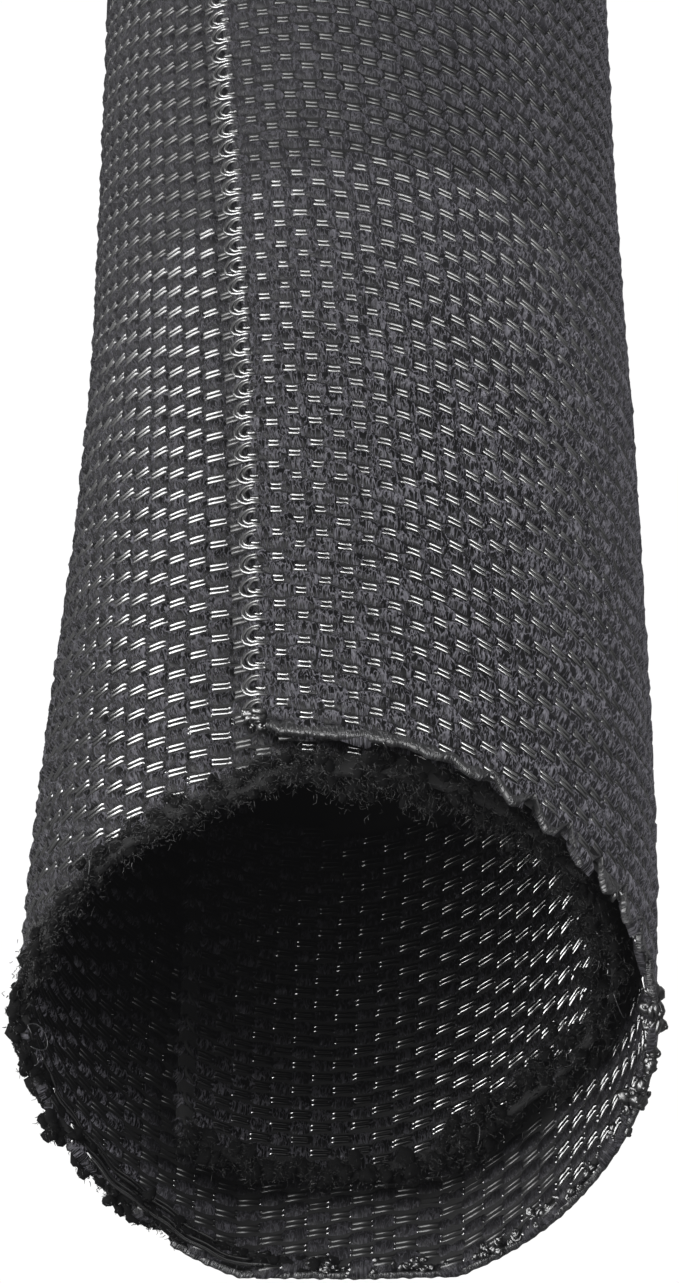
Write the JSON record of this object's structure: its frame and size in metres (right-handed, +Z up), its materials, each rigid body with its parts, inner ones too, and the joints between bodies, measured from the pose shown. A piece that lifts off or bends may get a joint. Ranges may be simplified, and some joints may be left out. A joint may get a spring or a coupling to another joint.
{
  "type": "split woven cable sleeve",
  "caption": "Black self-wrapping woven cable sleeve, a curled strip of monofilament and yarn cloth whose long edge tucks under itself to close round a cable bundle.",
  "frame": {"origin": "on the floor under the bore's axis, halfway along the sleeve", "axes": "+Y along the bore from the spread mouth to the plain end, +Z up from the floor the sleeve lies on, +X to the right as the mouth is seen"},
  "size_m": [0.0312, 0.305, 0.0287],
  "materials": {
    "woven_cloth": "matt charcoal yarn with glossy monofilament picks"
  },
  "bodies": {
    "root": {"woven_sleeve": "woven_cloth"}
  },
  "joints": []
}
